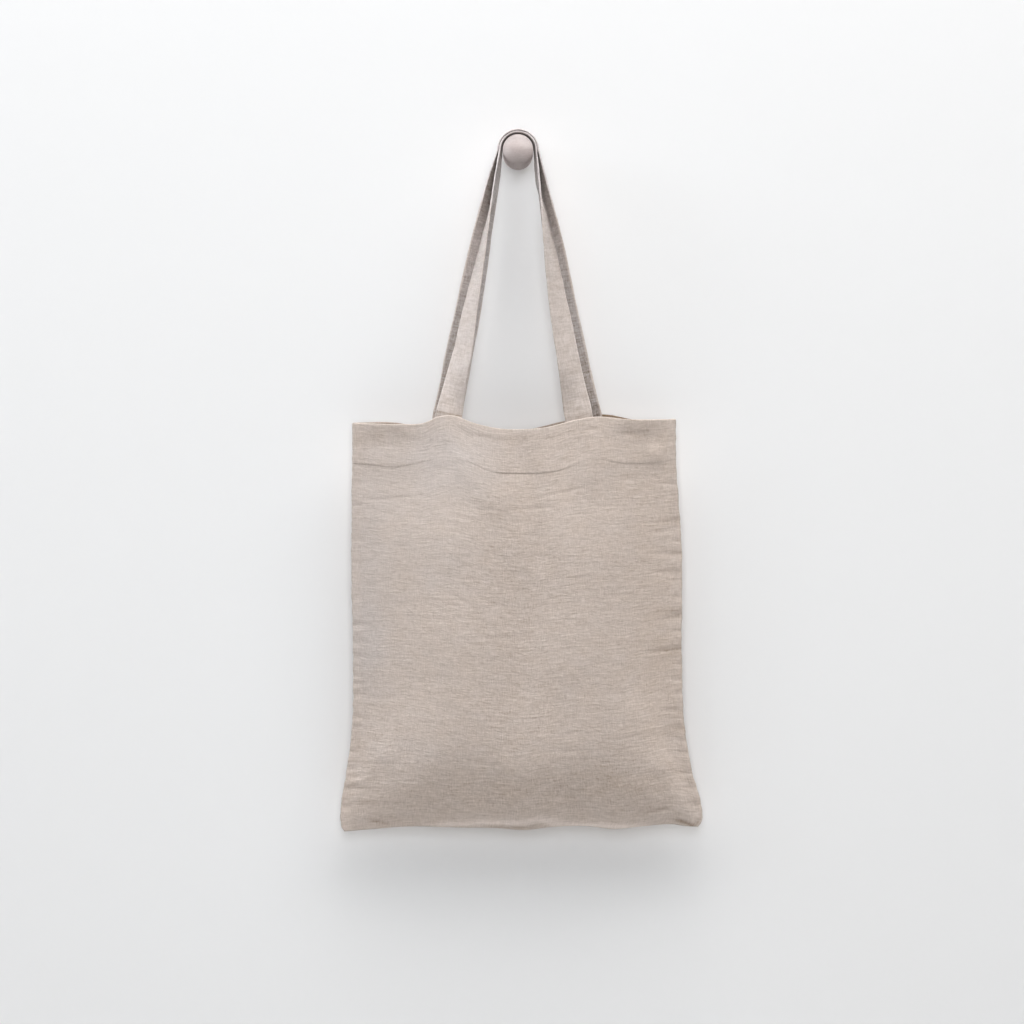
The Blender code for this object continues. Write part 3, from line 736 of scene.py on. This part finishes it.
# The linen's patterns: cells per mm across and up, octaves, roughness, distortion
LINEN_NOISE = {
    "fleck": (0.20, 0.60, 2.0, 0.6, 0.0),       # short thick and thin places in the threads
    "slub": (0.06, 0.42, 1.0, 0.5, 0.0),        # longer, in the weft
    "upright": (0.75, 0.13, 1.0, 0.5, 0.0),     # in the warp
    "crinkle": (0.075, 0.24, 2.0, 0.6, 0.3),
    "crease": (0.06, 0.27, 1.0, 0.5, 0.4),
    "phase": (0.055, 0.11, 1.0, 0.5, 0.0),      # bends the thin lines
    "level": (0.085, 0.19, 1.0, 0.5, 0.0),      # patches where level lines show
    "stood": (0.12, 0.075, 1.0, 0.5, 0.0)}      # patches where upright lines show
THIN_LINES = {  # axis across them, bend, pitch (mm), where a patch begins and is full
    "level": ("Y", 12.0, 3.9, 0.42, 0.66),
    "stood": ("X", 9.0, 2.6, 0.52, 0.72)}
# crinkle, crease and level lighten the colour where they raise the cloth and darken it where they sink it: painted
# light and shade that goes with these wrinkles
LIGHTENS = {"fleck": 0.40, "slub": 0.32, "upright": 0.34, "crinkle": 0.12, "blotch": 0.06, "weave": 0.07,
            "crease": -0.05, "stood": 0.045, "level": 0.05}
RAISES = {"weave": 0.06, "fleck": 0.07, "slub": 0.06, "upright": 0.08, "crinkle": 0.18, "crease": -0.08,
          "level": 0.045}   # mm
WRINKLED = ("crinkle", "crease", "level")       # fainter on the straps
THREAD_PITCH = 0.75         # mm
MEAN_WEAVE = 0.45           # of its height
THREAD_SWAY = (1.2, 1.6, 0.0)
WARM, COOL = (1.035, 1.0, 0.955, 1.0), (0.965, 1.0, 1.045, 1.0)
HUE = 0.4                   # how far the cloth drifts between warm and cool
DARK_WOOD, PALE_WOOD = (0.430, 0.365, 0.350, 1.0), (0.500, 0.440, 0.425, 1.0)
GRAIN_COLOUR, PORE_COLOUR = (0.330, 0.270, 0.250, 1.0), (0.30, 0.25, 0.23, 1.0)


class Nodes:
    """Short calls for building a material's node tree."""

    def __init__(self, name):
        self.material = bpy.data.materials.new(name)
        self.material.use_nodes = True
        self.tree = self.material.node_tree
        self.shader = self.tree.nodes["Principled BSDF"]
        self.output = self.tree.nodes["Material Output"]

    def add(self, kind, inputs=(), **settings):
        node = self.tree.nodes.new(kind)
        for key, value in settings.items():
            setattr(node, key, value)
        for key, value in dict(inputs).items():
            self.set(node.inputs[key], value)
        return node

    def set(self, socket, value):
        if isinstance(value, bpy.types.NodeSocket):
            self.tree.links.new(value, socket)
        else:
            socket.default_value = value

    def surface(self, **inputs):
        """Shader inputs by name, with _ for a space."""
        for key, value in inputs.items():
            self.set(self.shader.inputs[key.replace("_", " ")], value)

    def math(self, operation, *values):
        return self.add("ShaderNodeMath", enumerate(values), operation=operation).outputs[0]

    def vector_math(self, operation, *values):
        return self.add("ShaderNodeVectorMath", enumerate(values), operation=operation).outputs[0]

    def split(self, vector):
        return self.add("ShaderNodeSeparateXYZ", {0: vector}).outputs

    def mix(self, share, low, high, blend="MIX"):
        return self.add("ShaderNodeMix", {"Factor": share, "A": low, "B": high}, data_type="RGBA",
                        blend_type=blend).outputs["Result"]

    def ramp(self, value, low, high, to_low=0.0, to_high=1.0):
        return self.add("ShaderNodeMapRange", {0: value, 1: low, 2: high, 3: to_low, 4: to_high},
                        interpolation_type="SMOOTHSTEP").outputs[0]

    def from_middle(self, value):
        return self.math("ABSOLUTE", self.math("SUBTRACT", value, 0.5))

    def stretch(self, vector, scale):
        return self.add("ShaderNodeMapping", {"Vector": vector, "Scale": scale}).outputs["Vector"]

    def noise(self, vector, scale, detail=1.0, rough=0.5, distortion=0.0, output="Fac"):
        return self.add("ShaderNodeTexNoise", {"Vector": self.stretch(vector, scale), "Scale": 1.0, "Detail": detail,
                                               "Roughness": rough, "Distortion": distortion}).outputs[output]

    def attribute(self, name):
        return self.add("ShaderNodeAttribute", attribute_name=name).outputs["Vector"]

    def bump(self, height):
        """Normal over a height in mm."""
        return self.add("ShaderNodeBump", {"Height": height, "Strength": 1.0, "Distance": MM}).outputs["Normal"]


def make_linen(name, colour, wrinkle=1.0):
    """Plain-weave linen: crossed threads, slubs, crinkles along the weft, slow changes of tone, and the painted light
    and shade that the tone and the wrinkles carry.
    """
    n = Nodes(name)
    place = n.stretch(n.attribute("cloth"), MM_PER_M)
    lightness, coolness, strength = (n.split(n.attribute("tone"))[axis] for axis in "XYZ")
    # The threads run a little unevenly
    sway = n.noise(place, (0.035, 0.035, 0.035), output="Color")
    moved = n.vector_math("ADD", place, n.stretch(sway, THREAD_SWAY))
    axes = n.split(moved)
    part = {key: n.noise(moved, (across, up, 1.0), *rest) for key, (across, up, *rest) in LINEN_NOISE.items()}
    part["blotch"] = n.noise(place, (0.03, 0.035, 1.0), 2.0)
    part["crease"] = n.ramp(n.from_middle(part["crease"]), 0.0, 0.06, 1.0, 0.0)
    part["weave"] = n.math("MULTIPLY", *(
        n.math("ABSOLUTE", n.math("SINE", n.math("MULTIPLY", axes[axis], math.pi / THREAD_PITCH))) for axis in "XY"))
    for key, (axis, bend, pitch, low, high) in THIN_LINES.items():
        wave = n.math("MULTIPLY_ADD", part["phase"], bend, n.math("MULTIPLY", axes[axis], 2 * math.pi / pitch))
        part[key] = n.math("MULTIPLY", n.math("SINE", wave), n.ramp(part[key], low, high))

    def total(start, amounts):
        for key, amount in amounts.items():
            start = n.math("MULTIPLY_ADD", part[key], amount * (wrinkle if key in WRINKLED else 1.0), start)
        return start

    # The patterns cancel out on average, so the colour stays the one given
    mean = sum(LIGHTENS[key] * (wrinkle if key in WRINKLED else 1.0)
               for key in ("fleck", "slub", "upright", "crinkle", "blotch")) / 2 + LIGHTENS["weave"] * MEAN_WEAVE
    light = n.math("MULTIPLY_ADD", total(-mean, LIGHTENS), n.math("ADD", strength, 1.0), lightness)
    cool = n.math("ADD", n.math("MULTIPLY_ADD", coolness, 0.5, 0.5),
                  n.math("MULTIPLY_ADD", n.noise(place, (0.045, 0.05, 2.0)), HUE, -HUE / 2))
    tinted = n.mix(1.0, colour, n.mix(cool, WARM, COOL), "MULTIPLY")
    change = tuple(amount * share for amount, share in zip(colour, (0.90, 1.0, 1.12)))
    n.surface(Base_Color=n.vector_math("MULTIPLY_ADD", light, change, tinted), Normal=n.bump(total(0.0, RAISES)),
              Roughness=n.ramp(part["fleck"], 0.2, 0.8, 0.86, 0.96), Specular_IOR_Level=0.25, Sheen_Weight=0.15,
              Sheen_Roughness=0.5)
    return n.material


def make_thread(name, colour):
    n = Nodes(name)
    twist = n.noise(n.add("ShaderNodeTexCoord").outputs["Object"], (900.0, 900.0, 900.0), 2.0)
    dark = tuple(amount * 0.85 for amount in colour[:3]) + (1.0,)
    n.surface(Base_Color=n.mix(n.ramp(twist, 0.3, 0.7), dark, colour), Roughness=0.85, Sheen_Weight=0.15)
    return n.material


def make_wood(name):
    """Pale turned wood: faint lines of grain across the nose and along the peg, with a dull finish and painted light
    and shade by height.
    """
    n = Nodes(name)
    place = n.stretch(n.add("ShaderNodeTexCoord").outputs["Object"], MM_PER_M)
    slow = n.noise(place, (0.05, 0.02, 0.08), 2.0)
    grain = n.noise(place, (0.10, 0.012, 0.62), 3.0, 0.6, 0.5)
    lines = n.ramp(n.from_middle(grain), 0.0, 0.05, 1.0, 0.0)
    pores = n.noise(place, (0.5, 0.08, 2.2))
    colour = n.mix(n.ramp(slow, 0.3, 0.7), DARK_WOOD, PALE_WOOD)
    colour = n.mix(n.math("MULTIPLY", lines, 0.30), colour, GRAIN_COLOUR)
    colour = n.mix(n.ramp(pores, 0.58, 0.75, 0.0, 0.3), colour, PORE_COLOUR)
    # Painted light and shade by height: paler across the peg's middle, darker above and below
    height = n.split(place)["Z"]
    painted_light_band = n.math("SUBTRACT", n.ramp(height, 12.0, 2.0, 0.9, 1.3), n.ramp(height, -4.0, -15.0, 0.0, 0.36))
    relief = n.math("MULTIPLY_ADD", pores, -0.06, n.math("MULTIPLY", lines, -0.02))
    n.surface(Base_Color=n.vector_math("MULTIPLY", colour, painted_light_band), Normal=n.bump(relief),
              Roughness=n.ramp(slow, 0.2, 0.8, 0.6, 0.72), Specular_IOR_Level=0.3)
    return n.material


def make_plain(name, colour, see_through_behind=False):
    n = Nodes(name)
    n.surface(Base_Color=colour, Roughness=0.9, Specular_IOR_Level=0.1)
    if see_through_behind:
        behind = n.add("ShaderNodeNewGeometry").outputs["Backfacing"]
        mixed = n.add("ShaderNodeMixShader", {0: behind, 1: n.shader.outputs[0],
                                              2: n.add("ShaderNodeBsdfTransparent").outputs[0]})
        n.set(n.output.inputs["Surface"], mixed.outputs[0])
    return n.material


# ------------------------------ the bag and its peg

linen = make_linen("linen_cloth", (0.553, 0.468, 0.412, 1.0))
strap_linen = make_linen("linen_strap", (0.610, 0.537, 0.497, 1.0), wrinkle=0.6)
thread = make_thread("linen_thread", (0.60, 0.52, 0.47, 1.0))
wood = make_wood("peg_wood")

front = make_panel("front", linen)
back = make_panel("back", linen)
front_strap = make_strap("front", strap_linen)
back_strap = make_strap("back", strap_linen)
peg = make_peg(wood)
hem_rows = {side: hem_stitches(side, thread) for side in ("front", "back")}
strap_stitch_rows = {side: strap_stitches(side, thread) for side in ("front", "back")}

for piece, node, slot in ((front, "front_panel", "linen"), (back, "back_panel", "linen"),
                          (front_strap, "front_handle", "strap_linen"), (back_strap, "back_handle", "strap_linen"),
                          (peg, "peg", "pale_wood")):
    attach(piece, "root")
    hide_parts(node)
for piece in (*hem_rows.values(), *strap_stitch_rows.values()):
    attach(piece, "root")


# ------------------------------ wall, floor, camera and light (m)

STAGE_SIZE = 8.0


def make_plane(name, location, rotation, material):
    half = STAGE_SIZE / 2
    mesh = bpy.data.meshes.new(name)
    mesh.from_pydata([(-half, -half, 0), (half, -half, 0), (half, half, 0), (-half, half, 0)], [], [(0, 1, 2, 3)])
    mesh.materials.append(material)
    plane = bpy.data.objects.new(name, mesh)
    plane.location, plane.rotation_euler = location, rotation
    bpy.context.scene.collection.objects.link(plane)


# The wall stands a hair behind the peg's flat end
make_plane("wall", (0, 0.0004, 0.6), (math.pi / 2, 0, 0),
           make_plain("wall_paint", (0.859, 0.856, 0.855, 1.0), see_through_behind=True))
make_plane("floor", (0, -1.0, -3.0), (0, 0, 0), make_plain("floor_paint", (0.82, 0.82, 0.82, 1.0)))

# The camera looks straight at the wall, at this place in the plane of the bag
LOOKED_AT = Vector((-0.0063, -0.038, -0.3792))
DISTANCE = 3.2
VIEW_WIDTH = 1.0752
SENSOR_WIDTH = 36.0
camera_data = bpy.data.cameras.new("camera")
camera_data.sensor_width = SENSOR_WIDTH
camera_data.lens = SENSOR_WIDTH * DISTANCE / VIEW_WIDTH
camera = bpy.data.objects.new("camera", camera_data)
camera.location = LOOKED_AT - Vector((0, DISTANCE, 0))
camera.rotation_euler = (math.pi / 2, 0, 0)
bpy.context.scene.collection.objects.link(camera)
bpy.context.scene.camera = camera

MIDDLE = Vector((0, 0, -0.4))
SOFTBOXES = (  # name, direction from the bag, distance, side (m), power (W), colour
    ("front", (0, -1, 0), 6.0, 2.0, 76, (1.0, 0.98, 0.95)),
    ("front_high", (0, -1, 0.3), 3.4, 1.13, 20.5, (0.95, 0.99, 1.05)),
    ("above_left", (-0.5, -0.36, 1), 6.0, 2.0, 82, (0.99, 1.0, 1.0)),
    ("above_right", (0.5, -0.36, 1), 6.0, 2.0, 97, (0.97, 1.0, 1.03)),
    ("above_near", (0, -0.24, 1), 3.4, 1.13, 57, (1.0, 1.0, 1.0)),
    ("above_far", (0, -0.6, 1), 3.4, 1.13, 13, (1.0, 1.0, 1.0)),
    ("side_left", (-1, -0.2, 0.5), 3.4, 1.13, 28, (0.92, 1.0, 1.08)),
    ("side_right", (1, -0.36, 1), 3.4, 1.13, 11, (1.06, 1.0, 0.92)),
    ("behind", (0.3, 1, 0.6), 3.4, 1.13, 24, (1.0, 1.0, 1.0)))
lights = {}
for name, towards, distance, size, power, colour in SOFTBOXES:
    data = bpy.data.lights.new(name, "AREA")
    data.size, data.energy, data.color = size, power, colour
    light = lights[name] = bpy.data.objects.new(name, data)
    light.location = MIDDLE + Vector(towards).normalized() * distance
    light.rotation_euler = (MIDDLE - light.location).to_track_quat("-Z", "Y").to_euler()
    light.visible_camera = False
    bpy.context.scene.collection.objects.link(light)

# The wall can be looked through from behind; the light there passes it as well, and shows the back of the part alone
part_pieces = bpy.data.collections.new("part_pieces")
for piece in (front, back, front_strap, back_strap, peg, *hem_rows.values(), *strap_stitch_rows.values()):
    part_pieces.objects.link(piece)
lights["behind"].light_linking.receiver_collection = part_pieces
lights["behind"].light_linking.blocker_collection = part_pieces

world = bpy.data.worlds.new("studio")
world.use_nodes = True
background = world.node_tree.nodes["Background"]
background.inputs["Color"].default_value = (1.0, 1.0, 1.0, 1.0)
background.inputs["Strength"].default_value = 0.11
bpy.context.scene.world = world
bpy.context.scene.view_settings.view_transform = "Standard"
